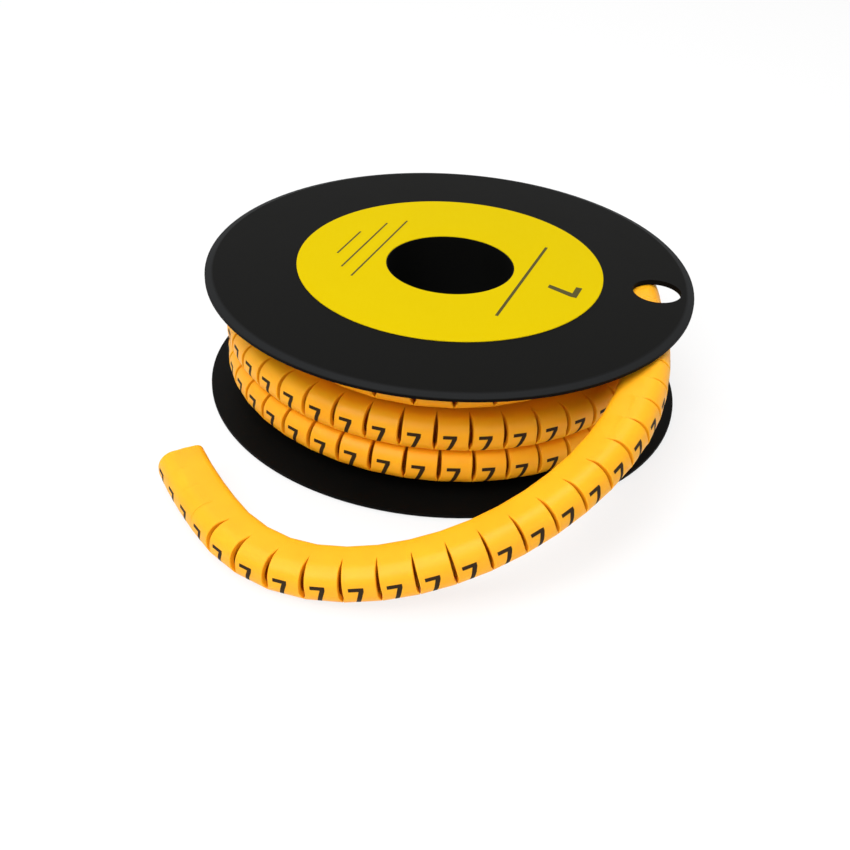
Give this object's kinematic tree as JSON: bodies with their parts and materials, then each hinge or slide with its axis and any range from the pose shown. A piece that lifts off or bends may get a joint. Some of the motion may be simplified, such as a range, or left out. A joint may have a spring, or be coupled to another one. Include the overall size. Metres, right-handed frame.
{
  "type": "reel of cable markers",
  "caption": "Flanged reel of ring-type cable markers: a cut yellow marker strip wound in rows on a black reel, with a loose stretch lying round the front",
  "frame": {"origin": "on the spindle axis, in the plane of the lower flange's outer face", "axes": "+Z along the spindle from the lower flange to the labelled one; -Y towards the front, where the loose stretch lies"},
  "size_m": [0.1037, 0.1291, 0.0279],
  "materials": {
    "reel_plastic": "black moulded plastic, fine matt grain",
    "label_paper": "yellow printed label, smooth",
    "marker_plastic": "yellow soft extruded plastic, satin"
  },
  "bodies": {
    "root": {"reel_upper_half": "reel_plastic", "reel_lower_half": "reel_plastic", "reel_label": "label_paper", "wound_strip": "marker_plastic", "loose_strip": "marker_plastic", "end_marker": "marker_plastic"}
  },
  "joints": []
}
